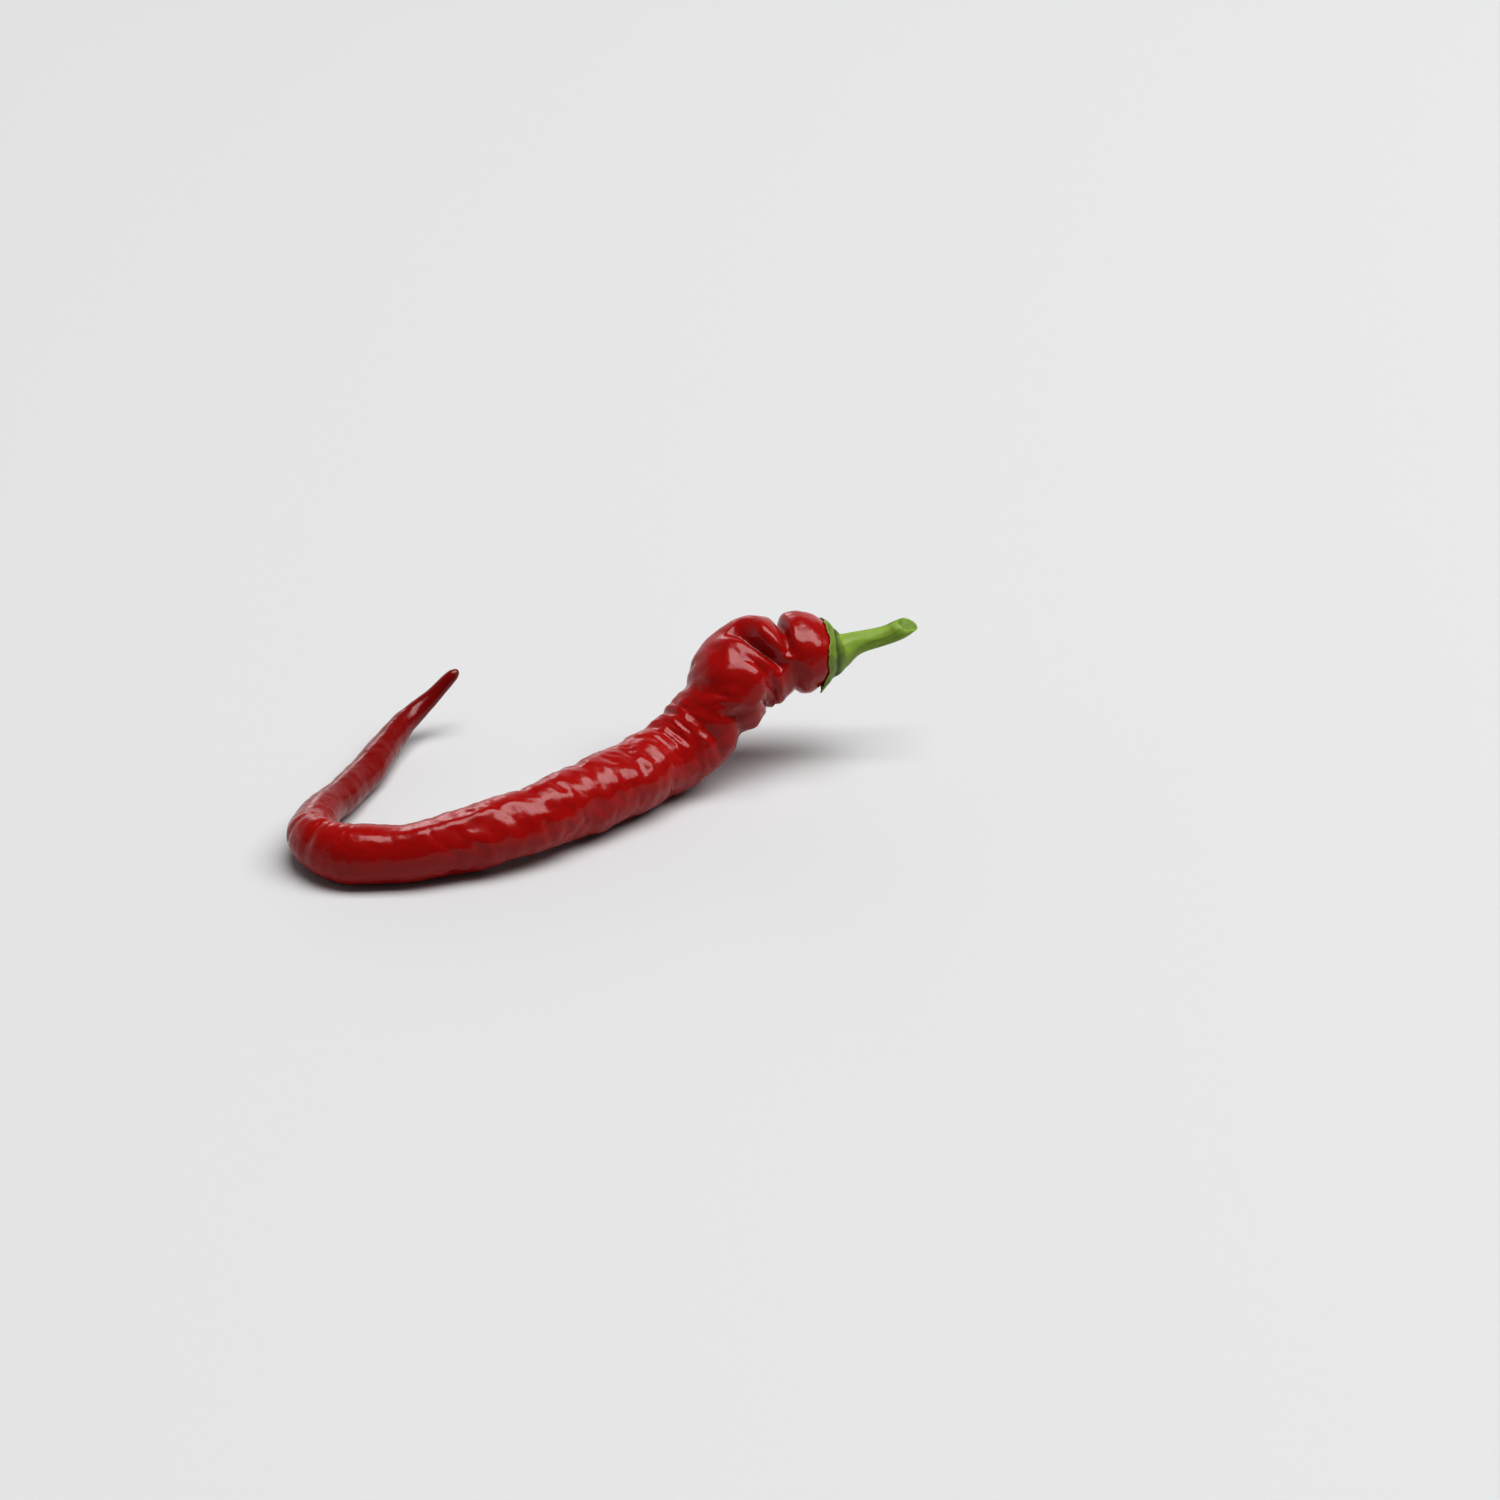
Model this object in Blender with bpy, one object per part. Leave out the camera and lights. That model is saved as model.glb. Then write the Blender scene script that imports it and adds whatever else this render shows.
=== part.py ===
"""Turuncu spiral pepper, ripe and red, as picked and lying on a table.

The pod is one fleshy fruit: a round shoulder, a pinched neck, a thick fold
that doubles over it, and a long twisting taper that hooks back on itself.
The calyx and the cut stalk are one green piece that grips the shoulder.

Frame: +X towards the cut end of the stalk, +Y away from the viewer, +Z up.
The origin is on the table, under the middle of the whole pepper.
Lengths below are in millimetres, and the meshes are in metres.
"""

import math
import random

import bpy
import numpy as np

MM = 0.001

# Middle line of the pod from the crown to the tip, with the pod's radius at
# each place: (x, y, z, radius).
POD_LINE = [
    (51.5, 28.0, 25.5, 0.0),
    (46.8, 27.0, 25.5, 8.1),
    (42.6, 26.2, 25.7, 9.7),
    (38.2, 25.2, 25.5, 9.1),
    (33.9, 24.0, 24.9, 9.8),
    (29.5, 21.8, 23.3, 10.6),
    (26.2, 18.4, 20.5, 10.4),
    (23.3, 15.6, 16.8, 9.7),
    (16.6, 10.6, 10.5, 9.0),
    (10.3, 5.2, 8.3, 8.6),
    (3.7, -2.2, 8.2, 8.5),
    (-6.3, -12.1, 8.6, 8.1),
    (-17.3, -21.6, 8.4, 7.6),
    (-27.5, -27.2, 7.7, 7.2),
    (-37.0, -30.7, 6.8, 6.8),
    (-46.5, -32.3, 6.3, 6.6),
    (-54.6, -32.2, 6.3, 6.6),
    (-60.2, -30.2, 6.3, 6.3),
    (-63.8, -25.8, 6.1, 5.8),
    (-64.8, -19.4, 5.7, 5.1),
    (-63.0, -10.3, 5.1, 4.4),
    (-59.4, -0.7, 4.1, 4.1),
    (-56.0, 9.9, 3.7, 4.0),
    (-52.5, 21.8, 4.2, 3.7),
    (-49.7, 28.4, 5.4, 3.0),
    (-46.0, 33.2, 7.5, 2.4),
    (-42.0, 35.9, 10.4, 1.9),
    (-38.4, 37.6, 13.8, 1.55),
    (-37.4, 38.0, 14.7, 1.15),
    (-36.8, 38.2, 15.2, 0.0),
]

# Middle line of the stalk from its cut end to the crown.
STALK_LINE = [
    (68.4, 31.7, 31.0, 2.2),
    (63.0, 30.8, 28.2, 2.3),
    (58.0, 29.7, 27.2, 2.4),
    (54.4, 28.8, 26.5, 3.0),
]

# Brings the middle of the whole pepper over the origin.
TO_MIDDLE = (0.5, -0.04)

POD_SIDES = 36
# Ring spacing along the pod: fine over the folds, coarse over the taper.
FOLDED_END = 47.0
FOLD_SPACING = 1.1
WRINKLED_END = 150.0
WRINKLE_SPACING = 1.7
TAPER_END = 204.0
TAPER_SPACING = 2.7
TIP_SPACING = 1.5
# Rings close up towards the poles, as the pod rounds off there.
CROWN_RINGS = (0.06, 0.25, 0.6)
TIP_RINGS = (0.7, 0.25, 0.06)

# The fruit's three low lobes turn slowly round the pod as it grows, and
# the long body swells and sinks a little along its length.
LOBE_COUNT = 3
LOBE_DEPTH = 0.02
LOBE_TWIST = 2 * math.pi / 150
SWELL = 0.16
SWELL_LENGTHS = (13.0, 21.0)

# Folds pressed into the pod. Each has the places that it runs through, as
# (distance from the crown, degrees round the pod), then its half width on
# the crown side and on the tip side, and its depth. A minus depth stands
# out. Degrees start at the side towards the viewer, and 90 is the top.
FOLDS = [
    # The neck, pinched deep on top and below, and shallow between.
    ([(12.8, 205), (13.3, 165), (13.6, 125), (13.3, 92), (13.2, 62), (13.5, 24)], 1.0, 1.1, 2.7),
    ([(13.2, 18), (12.6, -12), (11.7, -50), (11.7, -95), (12.3, -150)], 1.2, 1.1, 0.9),
    # The thick roll that doubles over the neck.
    ([(21.5, 170), (19.4, 130), (18.0, 99), (17.2, 70), (16.2, 50), (14.5, 30)], 2.1, 2.3, -1.5),
    # The hollow under the roll, with its sharp lower lip.
    ([(22.3, 104), (21.4, 84), (20.6, 64), (19.4, 42), (17.6, 24), (15.6, 6)], 1.9, 0.8, 2.7),
    # The roll's shoulder swells on top, above the waist.
    ([(31.0, 155), (27.0, 138), (23.0, 130), (19.5, 120)], 3.0, 3.0, -0.6),
    ([(35.0, 180), (33.8, 140), (32.7, 95), (32.0, 68), (31.6, 44)], 2.2, 2.4, 0.8),
    # The squeezed inner side of the bent neck, folded into three lobes.
    ([(32.4, 26), (33.8, 6), (35.4, -27), (36.0, -60), (36.4, -110)], 1.8, 2.0, 1.9),
    ([(28.6, 8), (27.4, -14), (25.8, -45), (26.0, -80), (27.0, -120)], 1.5, 1.7, 1.3),
    ([(20.0, 5), (20.6, -20), (20.6, -50), (21.0, -95)], 0.9, 1.0, 0.4),
    ([(17.6, 10), (15.9, -45), (16.2, -100)], 2.2, 2.6, -1.2),
    # The front of the bend swells towards the viewer.
    ([(23.5, 34), (25.5, 29), (28.5, 25), (32.0, 18)], 4.6, 4.6, -1.3),
    # The far side is folded in the same way.
    ([(25.0, 240), (26.8, 205), (28.0, 172), (27.5, 145)], 1.3, 1.5, 1.6),
    ([(18.8, 250), (19.6, 215), (20.8, 180)], 1.2, 1.3, 1.2),
    # Creases across the top of the rising body.
    ([(45.0, 170), (44.2, 138), (43.5, 99), (41.4, 74)], 1.1, 1.4, 0.6),
    ([(52.8, 165), (52.0, 130), (51.2, 105), (50.2, 84)], 1.1, 1.4, 0.5),
    ([(41.0, 60), (40.2, 30), (41.5, 0), (43.0, -30)], 1.2, 1.2, 0.4),
    ([(49.5, 85), (48.6, 58), (47.2, 30)], 1.1, 1.2, 0.4),
    # A blunt edge runs along the top of the long body.
    ([(88.0, 82), (98.0, 77), (108.0, 70), (117.0, 65), (132.0, 54)], 2.2, 2.2, -0.35),
    ([(94.0, 79), (103.0, 73), (113.0, 67), (123.0, 61)], 1.5, 1.5, -0.3),
    # The crook, creased round its outer side and pleated inside.
    ([(139.0, 120), (138.5, 80), (138.5, 40), (139.0, 0), (139.0, -40)], 0.9, 0.9, 0.45),
    ([(145.0, 120), (144.5, 80), (144.0, 40), (144.0, 0)], 0.8, 0.9, 0.4),
    ([(136.0, 230), (137.0, 200), (137.5, 170), (137.0, 135)], 0.9, 1.1, 0.9),
    ([(142.0, 235), (143.0, 205), (143.5, 170), (142.5, 130)], 0.9, 1.1, 0.8),
    # The tail narrows in a step before its blunt tip.
    ([(195.0, 250), (194.0, 215), (193.5, 180), (194.0, 150)], 2.0, 3.0, 0.35),
]

# Cross wrinkles scattered over the body, slanting with the pod's twist.
WRINKLE_SEED = 7
WRINKLE_COUNT = 64
WRINKLE_REACH = (26.0, 132.0)
WRINKLE_HALF_TURN = (12.0, 34.0)
WRINKLE_SLANT = (0.3, 1.8)
WRINKLE_WIDTH = (0.9, 1.5)
WRINKLE_DEPTH = (0.08, 0.3)

# The calyx: a thin cap with blunt lobes, one of them longer and bent off the pod.
GREEN_SIDES = 36
CALYX_GAP = 0.3
CALYX_THICKNESS = 0.8
CALYX_REACH = 4.4
CALYX_LOBES = 6
CALYX_LOBE_DEPTH = 0.3
CALYX_LOBE_TURN = math.radians(18)
LONG_LOBE_TURN = -54.0
LONG_LOBE_SPREAD = 19.0
LONG_LOBE_REACH = 1.1
LONG_LOBE_LIFT = 0.9
CALYX_RINGS = 6
CALYX_JOIN = 1.4
# The stalk's flare and stem from the calyx to the cut end: (s, radius).
STALK_PROFILE = [
    (-0.6, 4.1),
    (-1.7, 3.5),
    (-3.0, 3.05),
    (-4.6, 2.72),
    (-6.6, 2.5),
    (-8.8, 2.4),
    (-11.0, 2.35),
    (-13.2, 2.4),
    (-15.0, 2.45),
    (-16.1, 2.4),
]
CUT_EDGE = 2.1
# The knife went through on a slant, which the stalk's last stretch takes up.
CUT_SLOPE = 0.72
CUT_TURN = math.radians(62)
CUT_START = -12.5
CUT_DIMPLE = 0.4

POD_RED = (0.33, 0.006, 0.005, 1.0)
CALYX_GREEN = (0.10, 0.19, 0.03, 1.0)


def natural_spline(knots, values, at):
    """Smooth curve through the values, straight at its two ends."""
    step = np.diff(knots)
    slope = np.diff(values, axis=0) / step[:, None]
    size = len(knots)
    matrix = np.eye(size)
    right = np.zeros_like(values)
    for i in range(1, size - 1):
        matrix[i, i - 1] = step[i - 1]
        matrix[i, i] = 2 * (step[i - 1] + step[i])
        matrix[i, i + 1] = step[i]
        right[i] = 6 * (slope[i] - slope[i - 1])
    bend = np.linalg.solve(matrix, right)
    i = np.clip(np.searchsorted(knots, at) - 1, 0, size - 2)
    h = step[i][:, None]
    a = (knots[i + 1] - at)[:, None] / h
    b = 1 - a
    return (
        a * values[i]
        + b * values[i + 1]
        + ((a**3 - a) * bend[i] + (b**3 - b) * bend[i + 1]) * h**2 / 6
    )


LINE = np.array(STALK_LINE + POD_LINE)
LINE[:, :2] += TO_MIDDLE
STATION = np.concatenate(
    [[0], np.cumsum(np.linalg.norm(np.diff(LINE[:, :3], axis=0), axis=1))]
)
STATION -= STATION[len(STALK_LINE)]
STALK_LENGTH = -STATION[0]
POD_LENGTH = STATION[-1]


def middle(s):
    """Point on the middle line at each distance s from the crown."""
    return natural_spline(STATION, LINE[:, :3], s)


def girth(s):
    """Plain radius of the pod: the square of it is smooth to the poles."""
    first = len(STALK_LINE)
    square = natural_spline(STATION[first:], LINE[first:, 3:] ** 2, s)[:, 0]
    return np.sqrt(np.maximum(square, 0))


def axes_at(s):
    """Sideways and upward directions across the middle line."""
    along = middle(s + 0.05) - middle(s - 0.05)
    along /= np.linalg.norm(along, axis=1)[:, None]
    side = np.cross([0, 0, 1.0], along)
    side /= np.linalg.norm(side, axis=1)[:, None]
    return side, np.cross(along, side)


def fold(s, turn, radius, path, crown_side, tip_side, depth):
    """Depth of one fold, fading to nothing at both of its ends."""
    path_s = np.array([p[0] for p in path], float)
    path_turn = np.radians([p[1] for p in path])
    centre = path_turn.mean()
    around = (turn - centre + math.pi) % (2 * math.pi) - math.pi
    across = around * radius
    best = np.full(s.shape, 1e9)
    place = np.zeros(s.shape)
    tipward = np.zeros(s.shape)
    pieces = len(path) - 1
    for i in range(pieces):
        run_s = path_s[i + 1] - path_s[i]
        run_turn = (path_turn[i + 1] - path_turn[i]) * radius
        from_s = s - path_s[i]
        from_turn = across - (path_turn[i] - centre) * radius
        t = (from_s * run_s + from_turn * run_turn) / (run_s**2 + run_turn**2 + 1e-9)
        t = np.clip(t, 0, 1)
        gap = np.hypot(from_s - t * run_s, from_turn - t * run_turn)
        nearer = gap < best
        best = np.where(nearer, gap, best)
        place = np.where(nearer, (i + t) / pieces, place)
        side = from_s * run_turn - from_turn * run_s
        tipward = np.where(nearer, side, tipward)
    width = np.where(tipward * np.sign(path_turn[-1] - path_turn[0]) > 0, tip_side, crown_side)
    fade = np.sin(math.pi * place) ** 0.6
    return depth * fade * np.exp(-((best / width) ** 2))


def scattered_wrinkles():
    """Short cross folds at places drawn from a fixed seed."""
    draw = random.Random(WRINKLE_SEED)
    wrinkles = []
    for _ in range(WRINKLE_COUNT):
        s = draw.uniform(*WRINKLE_REACH)
        degrees = draw.uniform(0, 360)
        half = draw.uniform(*WRINKLE_HALF_TURN)
        slant = draw.uniform(*WRINKLE_SLANT)
        width = draw.uniform(*WRINKLE_WIDTH)
        depth = draw.uniform(*WRINKLE_DEPTH)
        path = [(s + slant, degrees + half), (s, degrees), (s - slant, degrees - half)]
        wrinkles.append((path, width, width, depth))
    return wrinkles


def relief(s, turn, radius):
    """How far the skin stands in or out of the plain round pod."""
    twisted = turn - LOBE_TWIST * s
    height = LOBE_DEPTH * radius * np.cos(LOBE_COUNT * twisted)
    for number, length in enumerate(SWELL_LENGTHS):
        height += SWELL * np.sin(2 * math.pi * s / length + (number + 1) * twisted)
    for path, crown_side, tip_side, depth in FOLDS + scattered_wrinkles():
        height = height - fold(s, turn, radius, path, crown_side, tip_side, depth)
    return height


def pod_points(s, turn):
    """Points of the skin, s and turn being arrays of one shape."""
    flat_s = s.ravel()
    flat_turn = turn.ravel()
    radius = girth(flat_s)
    side, up = axes_at(flat_s)
    reach = radius + relief(flat_s, flat_turn, radius) * np.minimum(radius / 6, 1)
    point = (
        middle(flat_s)
        + (reach * np.cos(flat_turn))[:, None] * side
        + (reach * np.sin(flat_turn))[:, None] * up
    )
    return point.reshape(*s.shape, 3)


def ring_places():
    """Distances from the crown at which the pod's rings stand."""
    head = np.arange(1.1, FOLDED_END, FOLD_SPACING)
    body = np.arange(FOLDED_END, WRINKLED_END, WRINKLE_SPACING)
    taper = np.arange(WRINKLED_END, TAPER_END, TAPER_SPACING)
    tail = np.arange(TAPER_END, POD_LENGTH - 1.2, TIP_SPACING)
    tip = [POD_LENGTH - gap for gap in TIP_RINGS]
    return np.concatenate([CROWN_RINGS, head, body, taper, tail, tip])


def closed_mesh(name, first_pole, rings, last_pole):
    """Mesh of rings of points, closed by a point at either end."""
    count, sides = rings.shape[:2]
    points = np.vstack([[first_pole], rings.reshape(-1, 3), [last_pole]]) * MM
    faces = []
    for j in range(sides):
        k = (j + 1) % sides
        faces.append((0, 1 + k, 1 + j))
        for i in range(count - 1):
            row = 1 + i * sides
            below = row + sides
            faces.append((row + j, row + k, below + k, below + j))
        last = 1 + (count - 1) * sides
        faces.append((last + j, last + k, last + sides))
    mesh = bpy.data.meshes.new(name)
    mesh.from_pydata(points.tolist(), [], faces)
    mesh.shade_smooth()
    return mesh


def make_pod():
    """The red fruit, with its low spots pressed flat where it lies."""
    turn = np.arange(POD_SIDES) * 2 * math.pi / POD_SIDES
    places, turns = np.meshgrid(ring_places(), turn, indexing="ij")
    rings = pod_points(places, turns)
    rings[..., 2] = np.maximum(rings[..., 2], 0)
    ends = middle(np.array([0.0, POD_LENGTH]))
    return closed_mesh("pod", ends[0], rings, ends[1])


def skin_offset(s, turn, out):
    """Points that stand off the pod's skin by the distance out."""
    here = pod_points(s, turn)
    along = pod_points(s + 0.05, turn) - pod_points(s - 0.05, turn)
    around = pod_points(s, turn + 0.01) - pod_points(s, turn - 0.01)
    normal = np.cross(around, along)
    normal /= np.linalg.norm(normal, axis=-1)[..., None]
    return here + np.broadcast_to(out, turn.shape)[..., None] * normal


def tube_ring(s, radius, turn):
    """One ring round the middle line, s being a number or an array."""
    s = np.broadcast_to(s, turn.shape)
    side, up = axes_at(s)
    across = np.cos(turn)[:, None] * side + np.sin(turn)[:, None] * up
    return middle(s) + radius * across


def cut_slant(s, radius, turn):
    """How far the slanting cut pushes a ring of the stalk back at each turn."""
    near = np.clip((CUT_START - s) / (CUT_START + STALK_LENGTH), 0, 1)
    return CUT_SLOPE * radius * (1 + np.cos(turn - CUT_TURN)) * near


def long_lobe(turn):
    """From 0 to 1 across the one lobe that hangs."""
    away = np.degrees(turn) - LONG_LOBE_TURN
    away = (away + 180) % 360 - 180
    return np.exp(-((away / LONG_LOBE_SPREAD) ** 4))


def calyx_rim(turn):
    """How far down the shoulder the calyx reaches at each turn."""
    lobes = CALYX_LOBE_DEPTH * np.cos(CALYX_LOBES * (turn - CALYX_LOBE_TURN))
    return CALYX_REACH + lobes + LONG_LOBE_REACH * long_lobe(turn)


def make_calyx_and_stalk():
    """The green cap on the shoulder and the cut stalk, grown as one."""
    turn = np.arange(GREEN_SIDES) * 2 * math.pi / GREEN_SIDES
    rim = calyx_rim(turn)
    cut = -STALK_LENGTH + cut_slant(-STALK_LENGTH, CUT_EDGE, turn)
    rings = [tube_ring(cut, CUT_EDGE, turn)]
    for s, radius in reversed(STALK_PROFILE):
        rings.append(tube_ring(s + cut_slant(s, radius, turn), radius, turn))
    lift = LONG_LOBE_LIFT * long_lobe(turn)
    for i in range(CALYX_RINGS):
        s = CALYX_JOIN + (rim - CALYX_JOIN) * i / (CALYX_RINGS - 1)
        under = CALYX_GAP + lift * (s / rim) ** 4
        rings.append(skin_offset(s, turn, under + CALYX_THICKNESS))
    for i in range(CALYX_RINGS):
        s = rim * (1 - i / CALYX_RINGS) ** 1.5
        rings.append(skin_offset(s, turn, CALYX_GAP + lift * (s / rim) ** 4))
    cut_middle = middle(np.array([CUT_DIMPLE + cut.mean()]))[0]
    inner_middle = middle(np.array([-CALYX_GAP]))[0]
    return closed_mesh("calyx_and_stalk", cut_middle, np.array(rings), inner_middle)


def place(name, mesh, colour, roughness):
    """Put a mesh into the scene as a named object with its own material."""
    material = bpy.data.materials.new(name)
    material.use_nodes = True
    shader = material.node_tree.nodes["Principled BSDF"]
    shader.inputs["Base Color"].default_value = colour
    shader.inputs["Roughness"].default_value = roughness
    shader.inputs["Metallic"].default_value = 0.0
    mesh.materials.append(material)
    piece = bpy.data.objects.new(name, mesh)
    bpy.context.collection.objects.link(piece)
    return piece


for old in list(bpy.data.objects):
    bpy.data.objects.remove(old, do_unlink=True)

place("pod", make_pod(), POD_RED, 0.22)
place("calyx_and_stalk", make_calyx_and_stalk(), CALYX_GREEN, 0.5)
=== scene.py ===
import math
import random

import bpy
import numpy as np
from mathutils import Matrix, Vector, noise


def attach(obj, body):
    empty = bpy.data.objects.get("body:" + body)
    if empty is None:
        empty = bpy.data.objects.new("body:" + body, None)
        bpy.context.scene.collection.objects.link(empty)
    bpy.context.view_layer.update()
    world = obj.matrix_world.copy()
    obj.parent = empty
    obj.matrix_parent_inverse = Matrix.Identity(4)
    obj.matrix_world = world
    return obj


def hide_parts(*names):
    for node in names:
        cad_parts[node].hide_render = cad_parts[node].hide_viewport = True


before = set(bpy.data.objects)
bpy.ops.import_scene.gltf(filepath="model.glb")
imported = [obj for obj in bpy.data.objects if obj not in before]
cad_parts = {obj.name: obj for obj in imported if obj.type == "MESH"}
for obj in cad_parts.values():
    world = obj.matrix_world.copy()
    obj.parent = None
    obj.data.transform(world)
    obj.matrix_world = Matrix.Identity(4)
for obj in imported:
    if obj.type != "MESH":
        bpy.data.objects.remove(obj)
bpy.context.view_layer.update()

# The pod. One thick-walled ripe fruit, glossy red, that grew as a single piece: a round
# shoulder, a pinched neck doubled over by a thick roll, and a long body that twists,
# wrinkles across its length and hooks back on itself into a thin tail with a blunt tip.

# Sizes are in millimetres, and become metres on the mesh.
MM = 0.001

# Middle line of the pod from the crown to the tip: (x, y, z, radius).
POD_LINE = [
    (51.5, 28.0, 25.5, 0.0),
    (46.8, 27.0, 25.5, 8.1),
    (42.6, 26.2, 25.7, 9.7),
    (38.2, 25.2, 25.5, 9.1),
    (33.9, 24.0, 24.9, 9.8),
    (29.5, 21.8, 23.3, 10.6),
    (26.2, 18.4, 20.5, 10.4),
    (23.3, 15.6, 16.8, 9.7),
    (16.6, 10.6, 10.5, 9.0),
    (10.3, 5.2, 8.3, 8.6),
    (3.7, -2.2, 8.2, 8.5),
    (-6.3, -12.1, 8.6, 8.1),
    (-17.3, -21.6, 8.4, 7.6),
    (-27.5, -27.2, 7.7, 7.2),
    (-37.0, -30.7, 6.8, 6.8),
    (-46.5, -32.3, 6.3, 6.6),
    (-54.6, -32.2, 6.3, 6.6),
    (-60.2, -30.2, 6.3, 6.3),
    (-63.8, -25.8, 6.1, 5.8),
    (-64.8, -19.4, 5.7, 5.1),
    (-63.0, -10.3, 5.1, 4.4),
    (-59.4, -0.7, 4.1, 4.1),
    (-56.0, 9.9, 3.7, 4.0),
    (-52.5, 21.8, 4.2, 3.7),
    (-49.7, 28.4, 5.4, 3.0),
    (-46.0, 33.2, 7.5, 2.4),
    (-42.0, 35.9, 10.4, 1.9),
    (-38.4, 37.6, 13.8, 1.55),
    (-37.4, 38.0, 14.7, 1.15),
    (-36.8, 38.2, 15.2, 0.0),
]
# Middle line of the stalk from its cut end to the crown.
STALK_LINE = [
    (68.4, 31.7, 31.0, 2.2),
    (63.0, 30.8, 28.2, 2.3),
    (58.0, 29.7, 27.2, 2.4),
    (54.4, 28.8, 26.5, 3.0),
]
# This shift brings the middle of the whole pepper over the origin.
TO_MIDDLE = (0.5, -0.04)

# The fine skin lies just inside the coarse solid that it stands for.
SKIN_INSET = 0.08
POD_SIDES = 180
# Spacing of the rings: (up to this distance from the crown, spacing).
RING_SPACING = ((47.0, 0.34), (130.0, 0.5), (156.0, 0.3), (204.0, 0.55), (218.0, 0.34))
# Distances from either end of the first few rings, and the least room they leave.
POLE_RINGS = (0.02, 0.08, 0.18, 0.34, 0.56)
POLE_ROOM = 0.2

# The pod is faintly three-sided, its sides turn once round in 150 mm, and it swells and
# narrows a little as it goes.
LOBE_COUNT = 3
LOBE_DEPTH = 0.02
LOBE_TWIST = 2 * math.pi / 150
SWELL = 0.16
SWELL_LENGTHS = (13.0, 21.0)

# Each fold: its run as (distance from the crown, degrees round the pod), its half width
# on the crown side and on the tip side, and its depth. A minus depth stands out.
# 0 degrees is the side towards the camera and 90 is the top.
FOLDS = [
    # The neck, pinched deep on top and below, and shallow between.
    ([(12.8, 205), (13.3, 165), (13.6, 125), (13.3, 92), (13.2, 62), (13.5, 24)], 1.0, 1.1, 2.7),
    ([(13.2, 18), (12.6, -12), (11.7, -50), (11.7, -95), (12.3, -150)], 1.2, 1.1, 0.9),
    # The thick roll that doubles over the neck.
    ([(21.5, 170), (19.4, 130), (18.0, 99), (17.2, 70), (16.2, 50), (14.5, 30)], 2.1, 2.3, -1.5),
    # The hollow under the roll, with its sharp lower lip.
    ([(22.3, 104), (21.4, 84), (20.6, 64), (19.4, 42), (17.6, 24), (15.6, 6)], 1.9, 0.8, 2.7),
    # The roll's shoulder swells on top, above the waist.
    ([(31.0, 155), (27.0, 138), (23.0, 130), (19.5, 120)], 3.0, 3.0, -0.6),
    ([(35.0, 180), (33.8, 140), (32.7, 95), (32.0, 68), (31.6, 44)], 2.2, 2.4, 0.8),
    # The squeezed inner side of the bent neck, folded into three lobes.
    ([(32.4, 26), (33.8, 6), (35.4, -27), (36.0, -60), (36.4, -110)], 1.8, 2.0, 1.9),
    ([(28.6, 8), (27.4, -14), (25.8, -45), (26.0, -80), (27.0, -120)], 1.5, 1.7, 1.3),
    ([(20.0, 5), (20.6, -20), (20.6, -50), (21.0, -95)], 0.9, 1.0, 0.4),
    ([(17.6, 10), (15.9, -45), (16.2, -100)], 2.2, 2.6, -1.2),
    # The front of the bend swells.
    ([(23.5, 34), (25.5, 29), (28.5, 25), (32.0, 18)], 4.6, 4.6, -1.3),
    # The far side is folded in the same way.
    ([(25.0, 240), (26.8, 205), (28.0, 172), (27.5, 145)], 1.3, 1.5, 1.6),
    ([(18.8, 250), (19.6, 215), (20.8, 180)], 1.2, 1.3, 1.2),
    # Creases across the top of the rising body.
    ([(45.0, 170), (44.2, 138), (43.5, 99), (41.4, 74)], 1.1, 1.4, 0.6),
    ([(52.8, 165), (52.0, 130), (51.2, 105), (50.2, 84)], 1.1, 1.4, 0.5),
    ([(41.0, 60), (40.2, 30), (41.5, 0), (43.0, -30)], 1.2, 1.2, 0.4),
    ([(49.5, 85), (48.6, 58), (47.2, 30)], 1.1, 1.2, 0.4),
    # A blunt edge runs along the top of the long body.
    ([(88.0, 82), (98.0, 77), (108.0, 70), (117.0, 65), (132.0, 54)], 2.2, 2.2, -0.35),
    ([(94.0, 79), (103.0, 73), (113.0, 67), (123.0, 61)], 1.5, 1.5, -0.3),
    # The crook, creased round its outer side and pleated inside.
    ([(139.0, 120), (138.5, 80), (138.5, 40), (139.0, 0), (139.0, -40)], 0.9, 0.9, 0.45),
    ([(145.0, 120), (144.5, 80), (144.0, 40), (144.0, 0)], 0.8, 0.9, 0.4),
    ([(136.0, 230), (137.0, 200), (137.5, 170), (137.0, 135)], 0.9, 1.1, 0.9),
    ([(142.0, 235), (143.0, 205), (143.5, 170), (142.5, 130)], 0.9, 1.1, 0.8),
    # The tail narrows in a step before its blunt tip.
    ([(195.0, 250), (194.0, 215), (193.5, 180), (194.0, 150)], 2.0, 3.0, 0.35),
]

# Kinds of cross wrinkle strewn over the skin: seed, count, reach along the pod, then
# half length in degrees, slant, half width and depth, each as (least, most).
WRINKLES = [
    (5, 36, (33.0, 112.0), (14.0, 30.0), (0.2, 1.2), (0.9, 1.5), (0.22, 0.45)),
    (7, 300, (20.0, 116.0), (7.0, 20.0), (-0.2, 1.0), (0.45, 0.85), (0.08, 0.24)),
    (11, 200, (14.0, 118.0), (4.0, 14.0), (-0.3, 1.0), (0.3, 0.55), (0.03, 0.09)),
    (13, 50, (132.0, 152.0), (20.0, 60.0), (-0.4, 0.4), (0.35, 0.7), (0.04, 0.14)),
    (17, 24, (156.0, 215.0), (10.0, 40.0), (-0.6, 0.8), (0.6, 1.2), (0.03, 0.1)),
]
# A fold fades out at its ends, the more abruptly the lower this power.
FOLD_END_POWER = 0.6
# Further off than so many of its half widths, a fold is too faint to count.
FOLD_REACH = 3
# Keeps a run of no length from dividing by nothing.
TINY = 1e-9

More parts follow.
